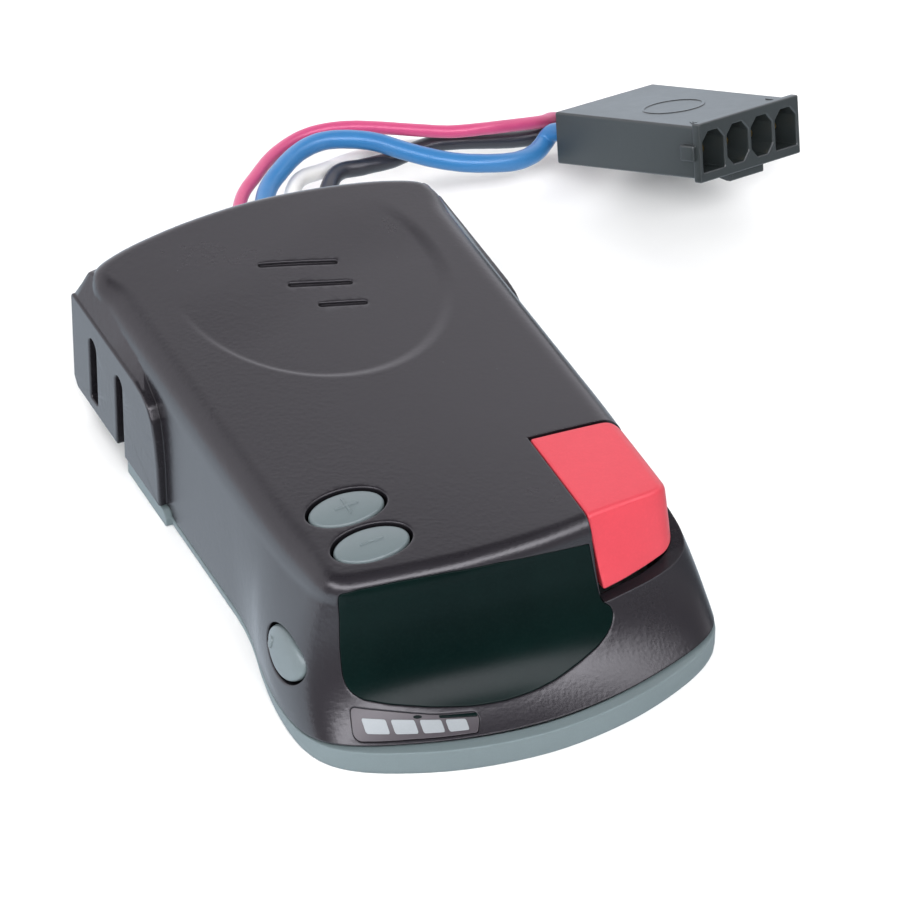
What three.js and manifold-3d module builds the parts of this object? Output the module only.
// In-cab trailer brake controller: a two-part moulded case with a smoked front
// window, two gain buttons, a side button, a hinged manual override paddle, the
// boards and parts inside, and a four-wire harness with an in-line connector.
// Millimetres, +Z up. The driver's side (front) faces -Y, the harness leaves at +Y,
// and right is +X. Everything is drawn with y = 0 at the front apex, then moved so
// that the origin is the centre of the flat underside.
import * as THREE from 'three';
import { mergeVertices } from 'three/addons/utils/BufferGeometryUtils.js';
import { ParametricGeometry } from 'three/addons/geometries/ParametricGeometry.js';
import Module from 'manifold-3d';

const wasm = await Module();
wasm.setup();
const { smoothstep } = THREE.MathUtils;

// ---- driving dimensions ----
const LENGTH = 113.4;         // rear apex of the case
const ORIGIN_Y = 56.5;        // origin, measured from the front apex
const WALL = 2.2;             // case wall
const TOP_Z = 27.0;           // crown of the top
const TOP_CROWN = 1.1;        // drop of the top at |x| = 28
const TOP_FRONT_DROP = 0.5;   // extra drop of the top at y = 15
const FOOT_Z = 3.6;           // height where the flared side ends
const SEAM_SIDE = 1.6;        // case seam height along the sides
const SEAM_FRONT_RISE = 2.7;  // extra seam height at the front apex

// side mounting pads and their slots
const PAD_X = 31.7;           // outer face
const PAD_FRONT = 74.2;
const PAD_REAR = 108.5;
const PAD_TOP = 21.0;
const PAD_BOTTOM = 3.4;
const SLOT_W = 3.0;
const SLOT_TOP = 17.4;
const SLOT1_Y = 100.0;
const SLOT2_Y = 89.5;
const SLOT2_FRONT = SLOT2_Y - SLOT_W / 2;
const SLOT2_REAR = SLOT2_Y + SLOT_W / 2;
const TRAY_STEP_Y = SLOT2_FRONT - 0.1;  // the tray is narrower behind this

// oval buttons
const BUTTON_A = 6.05;        // half length
const BUTTON_B = 3.7;         // half width
const BUTTON_GAP = 0.35;      // clearance round a button
const GAIN_X = -17.7;
const UP_Y = 34.9;
const DOWN_Y = 25.9;
const SIDE_Y = 24.3;
const SIDE_Z = 11.5;
const SIDE_AT = [SIDE_Y, SIDE_Z];

// override paddle and its pivot
const PADDLE_X0 = 13.9;       // left face
const PADDLE_X1 = 28.7;       // right face
const PADDLE_REAR = 38.3;
const PADDLE_BOTTOM = 13.0;
const PADDLE_LIP = 15.6;      // lower edge of its front face, at the left
const POCKET_LEFT = PADDLE_X0 - 0.35;
const POCKET_REAR = PADDLE_REAR + 0.35;
const AXIS_Y = 35.0;
const AXIS_Z = 16.0;
const AXIS = [AXIS_Y, AXIS_Z];
const SHAFT_R = 1.2;
const SHAFT_FIT_R = SHAFT_R + 0.02;   // bore fixed to the shaft
const SHAFT_HOLE_R = SHAFT_R + 0.3;   // bore in the case

// boards
const BOARD_Z0 = 6.5;
const BOARD_TOP = BOARD_Z0 + 1.6;
const PART_Z0 = BOARD_TOP + 0.3;      // underside of the parts on the main board
const BUTTON_BOARD_Z = [15.1, 16.6];

// screw places, [x, y]
const BASE_SCREWS = [[-22.3, 49.5], [22.0, 50], [-22.5, 92.0], [20.5, 102.0]];
const BOARD_SCREWS = [[-19.5, 42], [19.5, 72], [-10.0, 95.0]];
const BUTTON_BOARD_SCREWS = [[-24.7, 30.4], [-10.9, 42.4]];

// harness opening in the rear wall, and the in-line connector
const HARNESS_X = 6.4;
const HARNESS_Z = 12;
const OPENING_HALF_W = 11;
const OPENING_HALF_H = 3.4;
const PITCH = 6.35;           // connector contact pitch
const CONN_W = 25.6;
const CONN_H = 8.6;
const CONN_L = 28.8;
const CONN_FLANGE_T = 1.5;

// ---- materials ----
const MATERIALS = {
  charcoal: { color: 0x3d3c42, roughness: 0.55 },
  grey: { color: 0x87969a, roughness: 0.5 },
  lens: { color: 0x0b1a18, roughness: 0.12 },
  label: { color: 0x4a474c, roughness: 0.35 },
  button: { color: 0x98a4aa, roughness: 0.45 },
  paddle: { color: 0xf25c66, roughness: 0.45 },
  steel: { color: 0xb9bcc0, roughness: 0.3, metalness: 1 },
  brass: { color: 0xc9a24b, roughness: 0.3, metalness: 1 },
  aluminium: { color: 0xa9adb2, roughness: 0.4, metalness: 1 },
  board: { color: 0x1f5a3a, roughness: 0.5 },
  black: { color: 0x1c1c1f, roughness: 0.5 },
  potBody: { color: 0x24506a, roughness: 0.5 },
  potRotor: { color: 0xd8d4c8, roughness: 0.5 },
  display: { color: 0x2a2a2c, roughness: 0.4 },
  plunger: { color: 0x303033, roughness: 0.5 },
  capacitor: { color: 0x2b2f55, roughness: 0.4 },
  connector: { color: 0x48484f, roughness: 0.5 },
};

// ---- solids ----
// three.js geometry to a Manifold, wound so that its volume is positive
function solid(source) {
  const bare = source.clone();
  for (const key of Object.keys(bare.attributes)) {
    if (key !== 'position') bare.deleteAttribute(key);
  }
  const merged = mergeVertices(bare, 1e-4);
  const pos = merged.attributes.position.array;
  const index = merged.index.array;
  const tri = [];
  for (let i = 0; i < index.length; i += 3) {
    const [a, b, c] = [index[i], index[i + 1], index[i + 2]];
    if (a !== b && b !== c && a !== c) tri.push(a, b, c);
  }
  let volume = 0;
  for (let i = 0; i < tri.length; i += 3) {
    const [a, b, c] = [tri[i] * 3, tri[i + 1] * 3, tri[i + 2] * 3];
    volume += pos[a] * (pos[b + 1] * pos[c + 2] - pos[b + 2] * pos[c + 1])
      - pos[a + 1] * (pos[b] * pos[c + 2] - pos[b + 2] * pos[c])
      + pos[a + 2] * (pos[b] * pos[c + 1] - pos[b + 1] * pos[c]);
  }
  if (volume < 0) {
    for (let i = 0; i < tri.length; i += 3) [tri[i], tri[i + 1]] = [tri[i + 1], tri[i]];
  }
  return new wasm.Manifold(new wasm.Mesh({
    numProp: 3,
    vertProperties: new Float32Array(pos),
    triVerts: new Uint32Array(tri),
  }));
}

function toGeometry(body) {
  const mesh = body.getMesh();
  const result = new THREE.BufferGeometry();
  const positions = new Float32Array(mesh.vertProperties);
  result.setAttribute('position', new THREE.BufferAttribute(positions, 3));
  result.setIndex(new THREE.BufferAttribute(new Uint32Array(mesh.triVerts), 1));
  result.computeVertexNormals();
  return result;
}

// Ranges are [low, high].
const around = (centre, half) => [centre - half, centre + half];
const middle = ([low, high]) => (low + high) / 2;
// x range between two distances from the middle plane, side = 1 right or -1 left
const onSide = (side, near, far) => (side > 0 ? [near, far] : [-far, -near]);
const ACROSS = [-60, 60];     // wider than anything in the case

function box(xs, ys, zs) {
  const size = [xs, ys, zs].map(([low, high]) => high - low);
  const shape = new THREE.BoxGeometry(...size);
  return solid(shape.translate(middle(xs), middle(ys), middle(zs)));
}

// cylinders along one axis; the centre is given in the other two
const cylinder = (range, r, facets) =>
  new THREE.CylinderGeometry(r, r, range[1] - range[0], facets);
const cylX = ([y, z], xs, r, facets) =>
  solid(cylinder(xs, r, facets).rotateZ(Math.PI / 2).translate(middle(xs), y, z));
const cylY = ([x, z], ys, r, facets) =>
  solid(cylinder(ys, r, facets).translate(x, middle(ys), z));
const cylZ = ([x, y], zs, r, facets) =>
  solid(cylinder(zs, r, facets).rotateX(Math.PI / 2).translate(x, y, middle(zs)));

// prisms of a closed outline: [x, y] along z, [y, z] along x, [x, z] along y
const toShape = (outline) => new THREE.Shape(outline.map(([a, b]) => new THREE.Vector2(a, b)));
const AXIS_X = new THREE.Vector3(1, 0, 0);
const UNIT_Y = new THREE.Vector3(0, 1, 0);
const UNIT_Z = new THREE.Vector3(0, 0, 1);
const MINUS_X = new THREE.Vector3(-1, 0, 0);
const TO_X = new THREE.Matrix4().makeBasis(UNIT_Y, UNIT_Z, AXIS_X);
const TO_Y = new THREE.Matrix4().makeBasis(MINUS_X, UNIT_Z, UNIT_Y);

function extrude(outline, [from, to]) {
  const options = { depth: to - from, bevelEnabled: false, steps: 1 };
  return new THREE.ExtrudeGeometry(toShape(outline), options).translate(0, 0, from);
}
const prismZ = (outline, zs) => solid(extrude(outline, zs));
const prismX = (outline, xs) => solid(extrude(outline, xs).applyMatrix4(TO_X));
const prismY = (outline, ys) =>
  solid(extrude(outline.map(([x, z]) => [-x, z]), ys).applyMatrix4(TO_Y));

const oval = ([cx, cy], a, b, count = 28) => Array.from({ length: count }, (_, i) => {
  const angle = 2 * Math.PI * i / count;
  return [cx + a * Math.cos(angle), cy + b * Math.sin(angle)];
});

// round bar of the given radius swept along a curve
function sweep(path, r, facets, steps) {
  const options = { steps, extrudePath: path, bevelEnabled: false };
  return solid(new THREE.ExtrudeGeometry(toShape(oval([0, 0], r, r, facets)), options));
}

// rings of equal point counts joined into one body, closed by a point at each end
function loft(rings) {
  const count = rings[0].length;
  const cap = (ring) => {
    const centre = new THREE.Vector3();
    for (const point of ring) centre.add(point);
    return Array(count).fill(centre.divideScalar(count));
  };
  const rows = [cap(rings[0]), ...rings, cap(rings[rings.length - 1])];
  const last = rows.length - 1;
  return solid(new ParametricGeometry((u, v, out) => {
    out.copy(rows[Math.round(v * last)][Math.round(u * count) % count]);
  }, count, last));
}
const ringAt = (loop, z) => loop.map(([x, y]) => new THREE.Vector3(x, y, z));

// ---- case surface ----
// Half outlines [x, y] from the front apex round the right side to the rear apex:
// CASE_FOOT at the seam, CASE_SHOULDER where the top edge rounding begins.
const CASE_FOOT = [
  [0, -0.4], [8, 0.25], [15.5, 1.85], [22.5, 4.4], [28, 7.3], [31.6, 10.6],
  [33.4, 14.6], [34.0, 19.5], [33.7, 26], [32.6, 33], [31.1, 40], [30.4, 46],
  [30.3, 54], [30.3, 66], [30.3, 78], [30.3, 90], [30.3, 100], [30.1, 105],
  [28.3, 108.6], [23, 110.6], [15.5, 112.2], [8, 113.1], [0, LENGTH],
];
const CASE_SHOULDER = [
  [0, 15.2], [7.5, 15.5], [14.3, 16.4], [20.5, 17.5], [25.0, 18.7], [27.3, 20.4],
  [28.4, 22.8], [28.9, 26], [29.3, 30.5], [29.6, 35.5], [29.8, 41], [29.9, 47],
  [29.9, 54.5], [29.9, 66], [29.9, 78], [29.9, 90], [29.9, 99.5], [29.6, 104.3],
  [27.8, 107.8], [22.8, 110.0], [15.3, 111.6], [8, 112.5], [0, 112.9],
];

const catmullRom = (a, b, c, d, t) => 0.5 * (2 * b + (c - a) * t
  + (2 * a - 5 * b + 4 * c - d) * t * t + (3 * b - a - 3 * c + d) * t ** 3);

// whole loop of a half outline, each span split in perSpan on a Catmull-Rom curve
function sample(half, perSpan) {
  const loop = [...half, ...half.slice(1, -1).reverse().map(([x, y]) => [-x, y])];
  const pick = (i) => loop[(i + loop.length) % loop.length];
  return loop.flatMap((point, i) => Array.from({ length: perSpan }, (_, j) => (
    [0, 1].map((axis) => catmullRom(pick(i - 1)[axis], point[axis],
      pick(i + 1)[axis], pick(i + 2)[axis], j / perSpan))
  )));
}

// moves each point to the left of its travel, which is inward on a
// counter-clockwise loop; distance is a number or a function of the point
function inset(loop, distance) {
  const count = loop.length;
  return loop.map((point, i) => {
    const before = loop[(i + count - 1) % count];
    const after = loop[(i + 1) % count];
    const [dx, dy] = [after[0] - before[0], after[1] - before[1]];
    const length = Math.hypot(dx, dy);
    const d = typeof distance === 'function' ? distance(point) : distance;
    return [point[0] - d * dy / length, point[1] + d * dx / length];
  });
}
const grow = (outline, d) => inset(outline,
  THREE.ShapeUtils.isClockWise(outline.map(([x, y]) => new THREE.Vector2(x, y))) ? d : -d);

const topZ = (x, y) => TOP_Z - TOP_CROWN * (x / 28) ** 2
  - TOP_FRONT_DROP * (Math.max(0, 45 - y) / 30) ** 2;
const ceilingZ = ([x, y]) => topZ(x, y) - WALL + 0.5;   // top of a post, inside the wall

// radius of the top edge: larger behind the front, small at the rear
const edgeRadius = (y) => 3.2 + 1.6 * smoothstep(y, 18, 32) - 2.3 * smoothstep(y, 98, 107);

// The side runs from foot (s = 0) to shoulder (s = 1).
const SIDE_SPACING = 1.25;    // power that crowds the rings towards the foot
const SIDE_FLARE = 1.7;       // power of the blend in x
const sideBlendY = (s) => 0.6 * (1 - (1 - s) ** 3.2) + 0.4 * s;
const TOP_CENTRE_Y = 60;      // the top rings shrink to this point on x = 0

// closed case body moved in by depth all round, down to zLow
function caseBody({ depth, perSpan, zLow = -3, topRings = 2, edgeRings = 2, sideRings = 6 }) {
  const foot = inset(sample(CASE_FOOT, perSpan), depth);
  const shoulder = inset(sample(CASE_SHOULDER, perSpan), depth);
  const radius = ([, y]) => Math.max(0.8, edgeRadius(y) - depth * 0.5);
  const rim = inset(shoulder, radius);
  const surfaceZ = (x, y) => topZ(x, y) - depth;
  const rings = [];
  for (let j = 1; j <= topRings; j++) {
    const scale = j / topRings;
    rings.push(rim.map(([rimX, rimY]) => {
      const x = scale * rimX;
      const y = TOP_CENTRE_Y + scale * (rimY - TOP_CENTRE_Y);
      return new THREE.Vector3(x, y, surfaceZ(x, y));
    }));
  }
  for (let j = 1; j <= edgeRings; j++) {
    const angle = (Math.PI / 2) * j / edgeRings;
    rings.push(rim.map(([x, y], i) => new THREE.Vector3(
      x + (shoulder[i][0] - x) * Math.sin(angle),
      y + (shoulder[i][1] - y) * Math.sin(angle),
      surfaceZ(x, y) - radius(shoulder[i]) * (1 - Math.cos(angle)),
    )));
  }
  for (let j = 1; j <= sideRings; j++) {
    const s = (1 - j / sideRings) ** SIDE_SPACING;
    rings.push(rim.map(([x, y], i) => {
      const [footX, footY] = foot[i];
      const shoulderZ = surfaceZ(x, y) - radius(shoulder[i]);
      return new THREE.Vector3(
        footX + (shoulder[i][0] - footX) * s ** SIDE_FLARE,
        footY + (shoulder[i][1] - footY) * sideBlendY(s),
        FOOT_Z + s * (shoulderZ - FOOT_Z),
      );
    }));
  }
  rings.push(ringAt(foot, zLow));
  return loft(rings);
}

// seam height along the case, and the seam line [y, z] moved up by rise
const seamZ = (y) => SEAM_SIDE + SEAM_FRONT_RISE * (1 - smoothstep(y, 0, 46)) ** 1.6;
function seamLine(rise) {
  const points = [];
  for (let y = -4; y <= 50; y += 3) points.push([y, seamZ(y) + rise]);
  return [...points, [130, SEAM_SIDE + rise]];
}

const outer = caseBody({
  depth: 0, perSpan: 2, zLow: -1, topRings: 4, edgeRings: 3,
});
const inner = caseBody({
  depth: WALL, perSpan: 1, zLow: -2, edgeRings: 1, sideRings: 4,
});

// ---- outlines on the case ----
// pad and housing openings in side view, [y, z]
const PAD_OUTLINE = [
  [PAD_FRONT, 2.9], [74.6, 10], [75.4, 14.6], [76.4, 17.6], [78.0, 19.6], [80.2, 20.6],
  [83, PAD_TOP], [PAD_REAR, PAD_TOP], [PAD_REAR, 5.0], [PAD_REAR - 1.4, PAD_BOTTOM],
  [SLOT2_REAR, PAD_BOTTOM], [SLOT2_FRONT, 2.9],
];
const PADDLE_OPENING = [
  [-6, 13.9], [15.0, 13.9], [19, 14.5], [23, 15.5], [27, 17.0], [33, 18.3],
  [POCKET_REAR, 18.9], [POCKET_REAR, 40], [-6, 40],
];
// paddle pocket in plan, [x, y]
const PADDLE_POCKET = [
  [POCKET_LEFT, 14.6], [21.8, 16.3], [25.0, 17.5], [27.2, 18.8], [28.9, 20.5],
  [29.2, 21.8], [29.2, POCKET_REAR], [POCKET_LEFT, POCKET_REAR],
];
// window and label in front view, [x, z]
const WINDOW = [
  [-25.9, 23.9], [-23.1, 24.5], [-17.0, 24.9], [-9.6, 25.0], [-1.9, 24.7], [6.1, 23.9],
  [13.0, 22.8], [13.4, 15.4], [13.7, 14.1], [14.9, 13.1], [15.1, 12.1], [14.4, 11.1],
  [13.2, 10.3], [11.2, 9.5], [7.5, 8.7], [3, 7.9], [-1, 7.5], [-5.5, 7.3],
  [-10.3, 7.4], [-16.3, 7.9], [-21.9, 8.6], [-25.4, 9.3], [-26.9, 10.4], [-27.2, 12],
  [-26.8, 16], [-26.2, 20.3],
];
const LABEL = [
  [-28.2, 4.8], [-20, 5.0], [-11.2, 5.0], [-10.2, 5.4], [-9.6, 6.2], [-10.2, 6.7],
  [-16.3, 7.05], [-21.9, 7.75], [-27.3, 8.4],
];
// sloped shoulder above a pad: [y, z and |x| of its upper corner, |x| of its foot]
const BAND = [
  [81, 20.7, 31.3, 31.4],
  [86, 23.2, 29.8, PAD_X - 0.1],
  [92, 23.8, 29.7, PAD_X - 0.1],
  [PAD_REAR - 1.2, 23.8, 29.7, PAD_X - 0.1],
  [PAD_REAR - 0.1, 22.6, 29.2, PAD_X - 0.6],
];
const BAND_BOTTOM = 19.6;
const BAND_INNER_X = 26.6;

const gainOval = (y, growA, growB) => oval([GAIN_X, y], BUTTON_A + growA, BUTTON_B + growB);
const sideOval = (growA, growB) => oval(SIDE_AT, BUTTON_A + growA, BUTTON_B + growB);
const SIDE_FLANGE = [0.45, 0.4];   // flange beyond the cap, along and across
const SIDE_ROOM = SIDE_FLANGE.map((width) => width + 0.4);

// ---- upper housing ----
const shoulderBand = (side) => loft(BAND.map(([y, cornerZ, cornerX, footX]) => [
  [BAND_INNER_X, BAND_BOTTOM], [footX, BAND_BOTTOM], [footX, 20.6], [cornerX, cornerZ],
  [BAND_INNER_X, cornerZ + 0.4],
].map(([x, z]) => new THREE.Vector3(side * x, y, z))));

// slot outline [y, z] with a round upper end
function slotOutline(centreY, bottomZ) {
  const r = SLOT_W / 2;
  const points = [[centreY - r, bottomZ], [centreY + r, bottomZ]];
  for (let i = 0; i <= 6; i++) {
    const angle = Math.PI * i / 6;
    points.push([centreY + r * Math.cos(angle), SLOT_TOP - r + r * Math.sin(angle)]);
  }
  return points;
}

// shell with its pads, cut along the seam and slotted
function padShell() {
  let shell = outer.subtract(inner);
  for (const side of [-1, 1]) {
    shell = shell.add(prismX(PAD_OUTLINE, onSide(side, 27.9, PAD_X))).add(shoulderBand(side));
  }
  shell = shell.subtract(prismX([...seamLine(0.15), [130, -5], [-4, -5]], [-40, 40]));
  // behind the second slot the skirt stops higher than the tray
  shell = shell.subtract(box(ACROSS, [SLOT2_REAR, 120], [-3, PAD_BOTTOM]));
  for (const side of [-1, 1]) {
    const xs = onSide(side, 25, 40);
    shell = shell.subtract(prismX(slotOutline(SLOT1_Y, 5.4), xs))
      .subtract(prismX(slotOutline(SLOT2_Y, -2), xs))
      // room for the tray's ears under the pads
      .subtract(box(onSide(side, 28.9, 40), [72.3, SLOT2_Y], [-3, 2.9]));
  }
  return shell;
}

function cutOpenings(shell) {
  for (const y of [UP_Y, DOWN_Y]) {
    shell = shell.subtract(prismZ(gainOval(y, BUTTON_GAP, BUTTON_GAP), [15, 40]));
  }
  const labelRecess = prismY(grow(LABEL, 0.3), [-6, 16])
    .subtract(caseBody({ depth: 1.0, perSpan: 2 }));
  return shell.subtract(prismX(sideOval(BUTTON_GAP, BUTTON_GAP), [-40, -26]))
    .subtract(prismY(grow(WINDOW, 0.25), [-6, 21]))
    .subtract(labelRecess)
    .subtract(prismX(PADDLE_OPENING, [POCKET_LEFT, 44]))
    .subtract(prismZ(PADDLE_POCKET, [9.8, 40]))
    .subtract(box(around(HARNESS_X, OPENING_HALF_W), [104, 120],
      around(HARNESS_Z, OPENING_HALF_H)));
}

function upperHousing() {
  let housing = cutOpenings(padShell());
  // screw posts for the tray
  for (const place of BASE_SCREWS) {
    housing = housing.add(cylZ(place, [8.9, ceilingZ(place)], 2.6, 12))
      .subtract(cylZ(place, [8.0, 17], 1.05, 10));
  }
  // block beside the paddle, and shaft holes in it and in the right wall
  housing = housing.add(box([10.9, 13.2], [31.8, 38.0], [12.8, ceilingZ([12, 35])]));
  for (const xs of [[10, 14.0], [27.0, 30.1]]) {
    housing = housing.subtract(cylX(AXIS, xs, SHAFT_HOLE_R, 14));
  }
  // posts for the button board
  for (const place of BUTTON_BOARD_SCREWS) {
    housing = housing.add(cylZ(place, [17.0, ceilingZ(place)], 1.9, 10))
      .subtract(cylZ(place, [16, 21.5], 0.75, 8));
  }
  // room for the side button's flange inside the wall
  return housing.subtract(prismX(sideOval(...SIDE_ROOM), [-29.6, -24]));
}

// ---- base tray ----
const TRAY_FLOOR = 1.9;
const POST_Z0 = 1.4;          // posts start inside the floor
const footLoop = (distance) => inset(sample(CASE_FOOT, 2), distance);
const footPrism = (distance, zs) => prismZ(footLoop(distance), zs);
// ears under the pads in side view, [y, z]
const EAR = [[72.6, 0], [TRAY_STEP_Y, 0], [TRAY_STEP_Y, 2.6], [73.8, 2.6], [72.6, 1.4]];

function trayShell() {
  // the lower edge is drawn in, more so at the front
  const underside = footLoop(([, y]) => 0.25 + 0.5 * (1 - smoothstep(y, 20, 42)));
  const aboveSeam = [[-6, seamZ(0)], ...seamLine(-0.1), [130, 20], [-6, 20]];
  // register lip inside the shell, cut away towards the front
  const lip = footPrism(2.55, [0.4, 5.6])
    .subtract(footPrism(4.0, [0, 9]))
    .subtract(box(ACROSS, [-6, 13.5], [1.0, 9]))
    .subtract(box(ACROSS, [13, 41], [TRAY_FLOOR, 9]));
  return loft([ringAt(underside, 0), ringAt(footLoop(0), 1.2), ringAt(footLoop(0), 6)])
    .subtract(prismX(aboveSeam, ACROSS))
    .subtract(footPrism(WALL, [TRAY_FLOOR, 9]))
    .add(lip);
}

function baseTray() {
  let tray = trayShell();
  for (const side of [-1, 1]) {
    tray = tray.subtract(box(onSide(side, 27.8, 40), [TRAY_STEP_Y, 120], [-2, 12]));
  }
  tray = tray.subtract(box(ACROSS, [110.0, 120], [-2, 12]));
  for (const side of [-1, 1]) {
    const relief = box(onSide(side, 25, 29.9), [60, 100], [1.5, 9]);
    tray = tray.add(prismX(EAR, onSide(side, 29.2, 31.2)).subtract(relief));
  }
  for (const place of BOARD_SCREWS) {
    tray = tray.add(cylZ(place, [POST_Z0, BOARD_Z0 - 0.3], 2.6, 12))
      .subtract(cylZ(place, [2.4, 8], 0.85, 8));
  }
  // counterbored from below
  for (const place of BASE_SCREWS) {
    tray = tray.add(cylZ(place, [POST_Z0, 8.5], 3.0, 14))
      .subtract(cylZ(place, [4.0, 10], 1.3, 10))
      .subtract(cylZ(place, [-1, 4.1], 2.4, 14));
  }
  return tray;
}

// ---- window and label: skins of the case front ----
const displayLens = () => outer.subtract(caseBody({ depth: 1.9, perSpan: 1 }))
  .intersect(prismY(WINDOW, [-6, 20.5]));
const frontLabel = () => outer.subtract(caseBody({ depth: 0.7, perSpan: 2 }))
  .intersect(prismY(LABEL, [-6, 16]));

// ---- buttons: cap, retaining flange, stem ----
const STEM_R = 2.0;
const gainButton = (y) => outer.intersect(prismZ(gainOval(y, 0, 0), [22.7, 40]))
  .add(prismZ(gainOval(y, 0.7, 0.5), [22.0, 22.9]))
  .add(cylZ([GAIN_X, y], [21.6, 22.5], STEM_R, 12));
const sideButton = () => outer.intersect(prismX(sideOval(0, 0), [-40, -28.6]))
  .add(prismX(sideOval(...SIDE_FLANGE), [-29.3, -28.1]))
  .add(cylX(SIDE_AT, [-28.6, -26.4], STEM_R, 12));

// ---- override paddle ----
const PADDLE_WALL = 1.8;
const PADDLE_ROOF_Z = 22.6;   // top of the hollow
const PADDLE_STATIONS = [PADDLE_X0, 18, 22, 25.3, 26.5, 27.4, 28.1, 28.5, PADDLE_X1];

// setback of a corner of radius r at distance d from the face it runs into
const cornerSetback = (r, d) => (d < r ? r - Math.sqrt(r * r - (r - d) ** 2) : 0);

// section across the paddle at x: lip, front face, crease, top, rear edge, skirt
function paddleSection(x) {
  const fromLeft = x - PADDLE_X0;
  const fromRight = PADDLE_X1 - x;
  const lipZ = PADDLE_LIP + 0.06 * fromLeft;
  const lipY = 13.3 + 0.13 * fromLeft + 0.012 * fromLeft * fromLeft;
  const upperY = 18.3 + 0.16 * fromLeft;   // front face at z = 25.95
  const drop = cornerSetback(2.2, fromRight) + 0.1;
  const setback = cornerSetback(3.4, fromRight);
  const rearY = PADDLE_REAR - cornerSetback(3.2, fromRight);
  const top = (y) => topZ(x, y) - drop;
  const front = (z) => lipY + (upperY - lipY) * (z - lipZ) / (25.95 - lipZ) + setback;
  const creaseY = front(top(18));
  const creaseZ = top(creaseY);
  return [
    [front(lipZ), lipZ],
    [front(creaseZ - 0.8), creaseZ - 0.8],
    [creaseY + 0.12, creaseZ - 0.2],
    [creaseY + 0.8, top(creaseY + 0.8)],
    [24, top(24)],
    [30, top(30)],
    [rearY - 0.4, top(rearY - 0.4)],
    [rearY, top(rearY) - 0.4],
    [rearY, PADDLE_BOTTOM],
    [25.5, PADDLE_BOTTOM],
    [24, lipZ],
  ].map(([y, z]) => new THREE.Vector3(x, y, z));
}

function overridePaddle() {
  const pastRear = PADDLE_REAR + 3;
  const across = [PADDLE_X0 - 1, PADDLE_X1 + 1];
  const hollow = [
    [18, 10], [18, PADDLE_LIP], [20.9, PADDLE_ROOF_Z], [pastRear, PADDLE_ROOF_Z], [pastRear, 10],
  ];
  return loft(PADDLE_STATIONS.map(paddleSection))
    .subtract(prismX(hollow, [PADDLE_X0 + PADDLE_WALL, PADDLE_X1 - PADDLE_WALL]))
    .subtract(box(across, [AXIS_Y + 2.8, pastRear], [0, 21.6]))
    .subtract(cylX(AXIS, across, SHAFT_FIT_R, 14));
}

const paddleShaft = () => cylX(AXIS, [5.6, 29.8], SHAFT_R, 14);

const SPRING = { x0: 18.0, length: 5.0, coilR: 2.2, wireR: 0.32, turns: 5 };
class Helix extends THREE.Curve {
  getPoint(t, out = new THREE.Vector3()) {
    const angle = 2 * Math.PI * SPRING.turns * t;
    return out.set(
      SPRING.x0 + SPRING.length * t,
      AXIS_Y + SPRING.coilR * Math.cos(angle),
      AXIS_Z + SPRING.coilR * Math.sin(angle),
    );
  }
}
const paddleSpring = () => sweep(new Helix(), SPRING.wireR, 5, SPRING.turns * 9);

// potentiometer round the shaft: a cup with a cover plate, and a rotor in it
function potentiometerBody() {
  const cover = box([9.0, 9.6], around(AXIS_Y, 4.4), [11, 21.0])
    .subtract(cylX(AXIS, [8, 11], 1.7, 14));
  return box([4.6, 9.6], around(AXIS_Y, 5.2), [PART_Z0, 21.3])
    .subtract(cylX(AXIS, [5.4, 11], 3.6, 18))
    .add(cover);
}
const potentiometerRotor = () => cylX(AXIS, [6.0, 8.6], 3.2, 18)
  .subtract(cylX(AXIS, [5, 10], SHAFT_FIT_R, 14));

// ---- boards ----
// plan outlines, [x, y]
const MAIN_BOARD = [
  [-22, 24.5], [-15, 17.6], [13, 17.6], [13.5, 27], [25, 29], [25, 98], [-25, 98], [-25, 28],
];
const BUTTON_BOARD = [[-26.2, 24.5], [-24.5, 21.3], [-9.0, 21.3], [-9.0, 44.6], [-26.2, 44.6]];

const drill = (board, places, zs, r, facets) =>
  places.reduce((body, place) => body.subtract(cylZ(place, zs, r, facets)), board);

function mainBoard() {
  const blank = prismZ(MAIN_BOARD, [BOARD_Z0, BOARD_TOP]);
  const cleared = drill(blank, BASE_SCREWS, [5, 10], 3.4, 14);
  return drill(cleared, BOARD_SCREWS, [5, 10], 1.25, 10);
}
const buttonBoard = () =>
  drill(prismZ(BUTTON_BOARD, BUTTON_BOARD_Z), BUTTON_BOARD_SCREWS, [14, 18], 1.0, 8);
const displayBoard = () => box([-7.6, 12.4], [22.4, 23.8], [PART_Z0, 22.0]);
const displayModule = () => box([-6.8, 11.4], [18.6, 22.1], [10.2, 20.4]);

// ---- switches: square body with a round well, plunger in the well ----
const SWITCH_HALF = 3;
const WELL_R = 1.95;
const PLUNGER_R = 1.6;
const gainSwitch = (y) => box(
  around(GAIN_X, SWITCH_HALF), around(y, SWITCH_HALF), [BUTTON_BOARD_Z[1] + 0.3, 20.2],
).subtract(cylZ([GAIN_X, y], [18.0, 21], WELL_R, 14));
const gainPlunger = (y) => cylZ([GAIN_X, y], [19.1, 21.3], PLUNGER_R, 14);
const sideSwitch = () => box([-24.2, -20.8], around(SIDE_Y, SWITCH_HALF), [PART_Z0, 14.6])
  .subtract(cylX(SIDE_AT, [-25, -22.0], WELL_R, 14));
const sidePlunger = () => cylX(SIDE_AT, [-26.1, -23.2], PLUNGER_R, 14);

// ---- parts on the main board ----
const microcontroller = () => box([-9, 1], [48, 58], [PART_Z0, BOARD_TOP + 1.9]);
const motionSensor = () => box([6, 12], [54, 60], [PART_Z0, BOARD_TOP + 2.1]);

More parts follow.
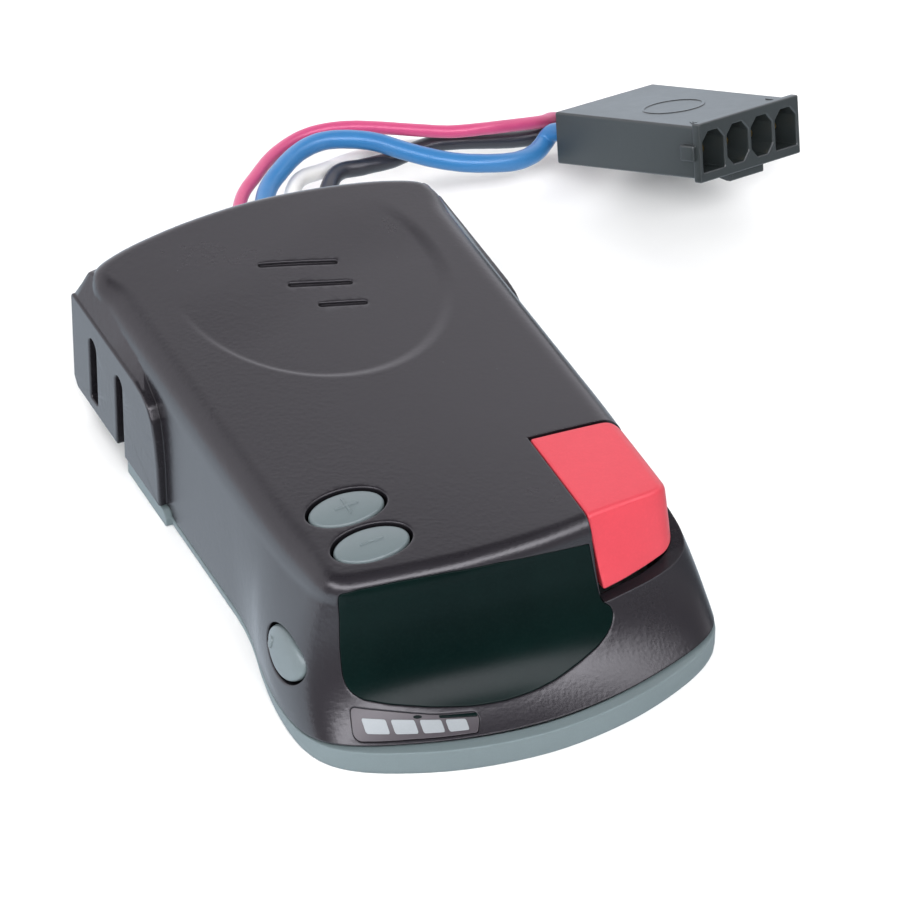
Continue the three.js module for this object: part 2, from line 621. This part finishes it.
// upright plate with five fins behind it
const SINK = { x0: 4, x1: 23, top: 22.5, finPitch: 4.3, finWidth: 1.8 };
function heatSink() {
  let sink = box([SINK.x0, SINK.x1], [88, 90], [PART_Z0, SINK.top]);
  for (let i = 0; i < 5; i++) {
    const x = SINK.x0 + i * SINK.finPitch;
    sink = sink.add(box([x, x + SINK.finWidth], [89.8, 95.6], [14.5, SINK.top]));
  }
  return sink;
}

// thick lower body, thin upper tab against the heat sink
const mosfet = (x) => box(around(x, 4.8), [83.2, 87.7], [PART_Z0, 19.5])
  .subtract(box(around(x, 6), [83.0, 86.3], [14.5, 20]));

// can with a shallow recess in its top
const CAPACITOR_AT = [-17, 78];
const capacitor = () => cylZ(CAPACITOR_AT, [PART_Z0, 20.6], 5.0, 24)
  .subtract(cylZ(CAPACITOR_AT, [20.2, 21], 4.2, 24));

// raised bar on two legs
const SHUNT_Y = [60, 63.2];
const shuntResistor = () => box([-20, -10], SHUNT_Y, [9.6, 11.6])
  .add(box([-20, -19.2], SHUNT_Y, [PART_Z0, 10]))
  .add(box([-10.8, -10], SHUNT_Y, [PART_Z0, 10]));

// ---- screws ----
// slotHalf is half the length and half the width of the drive slot
const SCREWS = {
  base: {
    headZ: [2.3, 3.9], headR: 2.1, headFacets: 14,
    shankZ: [3.6, 15.5], shankR: 0.95, shankFacets: 10,
    slotZ: [0, 3.0], slotHalf: [1.3, 0.3], cross: true,
  },
  board: {
    headZ: [BOARD_TOP + 0.15, BOARD_TOP + 1.5], headR: 1.9, headFacets: 12,
    shankZ: [3.0, BOARD_TOP + 0.8], shankR: 0.75, shankFacets: 8,
    slotZ: [BOARD_TOP + 0.9, 12], slotHalf: [1.2, 0.25],
  },
  buttonBoard: {
    headZ: [13.4, 14.8], headR: 1.7, headFacets: 12,
    shankZ: [14.4, 20.8], shankR: 0.65, shankFacets: 8,
    slotZ: [12, 13.9], slotHalf: [1.1, 0.25],
  },
};
function screw(place, type) {
  const [x, y] = place;
  const [long, short] = type.slotHalf;
  const body = cylZ(place, type.headZ, type.headR, type.headFacets)
    .add(cylZ(place, type.shankZ, type.shankR, type.shankFacets))
    .subtract(box(around(x, long), around(y, short), type.slotZ));
  if (!type.cross) return body;
  return body.subtract(box(around(x, short), around(y, long), type.slotZ));
}

// ---- connector frame ----
// x across the contacts, y from the mating face (-) to the wire end (0)
const acrossAxis = new THREE.Vector3(0.8894, 0.3718, -0.2658).normalize();
const wireAxis = new THREE.Vector3(-0.443, 0.8444, -0.3012);
wireAxis.addScaledVector(acrossAxis, -wireAxis.dot(acrossAxis)).normalize();
const connectorFrame = new THREE.Matrix4()
  .makeBasis(acrossAxis, wireAxis, new THREE.Vector3().crossVectors(acrossAxis, wireAxis))
  .setPosition(72.3, 130.9, 8.7);
const contactX = (i) => (i - 1.5) * PITCH;

// ---- wires ----
// holeX: place in the grommet; contact: index in the connector; entry: y in the
// connector frame of the last points; path: [x, y, z] points between the two
const WIRES = {
  red: {
    color: 0xe0508c, radius: 1.07, holeX: -1, contact: 3, entry: [4.5, 0.5, -6],
    path: [
      [1.5, 121, 12], [7.49, 132.36, 11.6], [12.3, 137.54, 11.4], [17.34, 142.07, 11.2],
      [22.63, 144.74, 11.2], [26.92, 145.16, 11.4], [31.67, 143.54, 11.8],
      [36.06, 140.92, 12], [40.24, 138.04, 12.2], [45.32, 134.14, 12.8],
      [50.41, 132.93, 12.6], [57.6, 133.7, 10.9], [62.67, 134.9, 9.3], [65.0, 136.6, 8.2],
      [67.4, 137.8, 6.8], [72.0, 140.3, 5.0], [76.6, 139.9, 4.4],
    ],
  },
  blue: {
    color: 0x3d87cd, radius: 1.55, holeX: 3.6, contact: 0, entry: [3.4, -0.5, -6],
    path: [
      [6, 121, 12], [11.44, 131.29, 12.2], [15.83, 135.49, 12.8], [20.72, 138.86, 13],
      [25.34, 140.05, 13], [29.65, 138.98, 12.8], [33.41, 136.68, 12.6],
      [36.32, 133.24, 12.4], [39.88, 129.82, 12], [43.8, 127.3, 11.5],
      [48.12, 125.75, 11], [53.24, 125.56, 10], [57.64, 127.51, 9], [60.73, 130.09, 8.6],
    ],
  },
  white: {
    color: 0xe6e6df, radius: 1.3, holeX: 8.4, contact: 2, entry: [3.6, 0, -6],
    path: [
      [10.8, 121, 11.6], [17.86, 134, 10.5], [24.19, 137.58, 9], [31.12, 140.81, 7.2],
      [36.05, 142.54, 6], [40.85, 143.52, 5], [45.95, 142.9, 4.4], [50.83, 142.24, 4.2],
      [55.29, 140.82, 4], [60.19, 140, 3.6], [65.0, 139.6, 2.9], [69.4, 138.2, 3.3],
    ],
  },
  black: {
    color: 0x3a3b42, radius: 1.4, holeX: 13.4, contact: 1, entry: [3.2, -0.5, -6],
    path: [
      [16.5, 121, 11.6], [24.56, 133.76, 10.2], [30.48, 135.55, 9.2], [35.87, 136.2, 8.6],
      [40.19, 137.35, 8.4], [44.4, 137.46, 8.6], [47.89, 136.01, 9], [51.91, 135.27, 8.4],
      [57.8, 135.08, 7.0], [62.67, 135, 6.4], [65.9, 134.9, 6.2],
    ],
  },
};
function wire({ radius, holeX, contact, entry, path }) {
  const points = [
    ...[97, 104, 114].map((y) => new THREE.Vector3(holeX, y, HARNESS_Z)),
    ...path.map((point) => new THREE.Vector3(...point)),
    ...entry.map((y) => new THREE.Vector3(contactX(contact), y, 0).applyMatrix4(connectorFrame)),
  ];
  return sweep(new THREE.CatmullRomCurve3(points, false, 'catmullrom', 0.5), radius, 7, 44);
}

// flanged block through the rear wall with one bore for each wire
function wireGrommet() {
  const halfW = OPENING_HALF_W - 0.3;
  const halfH = OPENING_HALF_H - 0.3;
  let grommet = box(around(HARNESS_X, halfW), [105.5, 114.4], around(HARNESS_Z, halfH))
    .add(box(around(HARNESS_X, halfW + 1.3), [105.0, 107.2], around(HARNESS_Z, halfH + 1)));
  for (const { holeX, radius } of Object.values(WIRES)) {
    grommet = grommet.subtract(cylY([holeX, HARNESS_Z], [100, 120], radius + 0.3, 12));
  }
  return grommet;
}

// ---- connector, in its own frame ----
// cavity [x, z] with chamfered upper corners and the given lower chamfer
function cavityOutline(x, lower) {
  const [w, h, upper] = [2.75, 3.25, 1.5];
  return [
    [x - w, -h + lower], [x - w + lower, -h], [x + w - lower, -h], [x + w, -h + lower],
    [x + w, h - upper], [x + w - upper, h], [x - w + upper, h], [x - w, h - upper],
  ];
}

function connectorHousing() {
  const halfW = CONN_W / 2;
  const halfH = CONN_H / 2;
  const flangeY = [-CONN_L - CONN_FLANGE_T, -CONN_L + 0.01];
  // wedge under the body, [y, z]
  const wedge = [
    [-CONN_L - 0.6, -halfH + 0.2], [-CONN_L - 0.6, -halfH - 2.0], [-CONN_L + 0.4, -halfH - 2.0],
    [-CONN_L + 7.5, -halfH - 0.4], [-CONN_L + 7.5, -halfH + 0.2],
  ];
  let body = box(around(0, halfW), [-CONN_L, 0], around(0, halfH))
    .add(box(around(0, halfW + 0.35), flangeY, around(0, halfH + 0.55)))
    .add(prismX(wedge, [-4.2, 4.2]));
  for (const side of [-1, 1]) {
    const xs = onSide(side, halfW - 0.2, halfW + 1.0);
    body = body.add(box(xs, [-CONN_L - 0.6, -CONN_L + 2.2], [-1.3, 1.3]));
  }
  // the outer cavities are nearly square below, the middle two chamfered
  [0.02, 1.5, 1.5, 0.02].forEach((lower, i) => {
    body = body.subtract(prismY(cavityOutline(contactX(i), lower), [-CONN_L - 3, -8.5]))
      .subtract(cylY([contactX(i), 0], [-9, 1], 1.9, 12));
  });
  return body;
}
const contactPin = (i) => cylY([contactX(i), 0], [-CONN_L + 0.9, -7.4], 1.05, 12)
  .add(cylY([contactX(i), 0], [-9.6, -6.6], 1.5, 12));

// ---- scene ----
const root = new THREE.Group();
const unit = new THREE.Group();
unit.position.y = -ORIGIN_Y;
root.add(unit);

function put(name, body, look, parent = unit) {
  const mesh = new THREE.Mesh(toGeometry(body), new THREE.MeshStandardMaterial(look));
  mesh.name = name;
  parent.add(mesh);
}
const putScrews = (name, places, type) => places.forEach((place, i) => {
  put(`${name}_${i + 1}`, screw(place, type), MATERIALS.steel);
});

put('upper_housing', upperHousing(), MATERIALS.charcoal);
put('base_cover', baseTray(), MATERIALS.grey);
put('display_lens', displayLens(), MATERIALS.lens);
put('front_label', frontLabel(), MATERIALS.label);
put('gain_up_button', gainButton(UP_Y), MATERIALS.button);
put('gain_down_button', gainButton(DOWN_Y), MATERIALS.button);
put('side_button', sideButton(), MATERIALS.button);
put('override_paddle', overridePaddle(), MATERIALS.paddle);
put('paddle_shaft', paddleShaft(), MATERIALS.steel);
put('paddle_spring', paddleSpring(), MATERIALS.steel);
put('potentiometer_body', potentiometerBody(), MATERIALS.potBody);
put('potentiometer_rotor', potentiometerRotor(), MATERIALS.potRotor);
put('main_board', mainBoard(), MATERIALS.board);
put('button_board', buttonBoard(), MATERIALS.board);
put('display_board', displayBoard(), MATERIALS.board);
put('display_module', displayModule(), MATERIALS.display);
put('up_switch', gainSwitch(UP_Y), MATERIALS.black);
put('down_switch', gainSwitch(DOWN_Y), MATERIALS.black);
put('side_switch', sideSwitch(), MATERIALS.black);
put('up_plunger', gainPlunger(UP_Y), MATERIALS.plunger);
put('down_plunger', gainPlunger(DOWN_Y), MATERIALS.plunger);
put('side_plunger', sidePlunger(), MATERIALS.plunger);
put('microcontroller', microcontroller(), MATERIALS.black);
put('motion_sensor', motionSensor(), MATERIALS.black);
put('mosfet_a', mosfet(9), MATERIALS.black);
put('mosfet_b', mosfet(19.4), MATERIALS.black);
put('heat_sink', heatSink(), MATERIALS.aluminium);
put('capacitor', capacitor(), MATERIALS.capacitor);
put('shunt_resistor', shuntResistor(), MATERIALS.steel);
putScrews('board_screw', BOARD_SCREWS, SCREWS.board);
putScrews('button_board_screw', BUTTON_BOARD_SCREWS, SCREWS.buttonBoard);
putScrews('base_screw', BASE_SCREWS, SCREWS.base);
put('wire_grommet', wireGrommet(), MATERIALS.black);
for (const [name, spec] of Object.entries(WIRES)) {
  put(`wire_${name}`, wire(spec), { color: spec.color, roughness: 0.4 });
}

const connector = new THREE.Group();
connector.applyMatrix4(connectorFrame);
unit.add(connector);
put('connector_housing', connectorHousing(), MATERIALS.connector, connector);
for (let i = 0; i < 4; i++) put(`contact_${i + 1}`, contactPin(i), MATERIALS.brass, connector);

export default root;
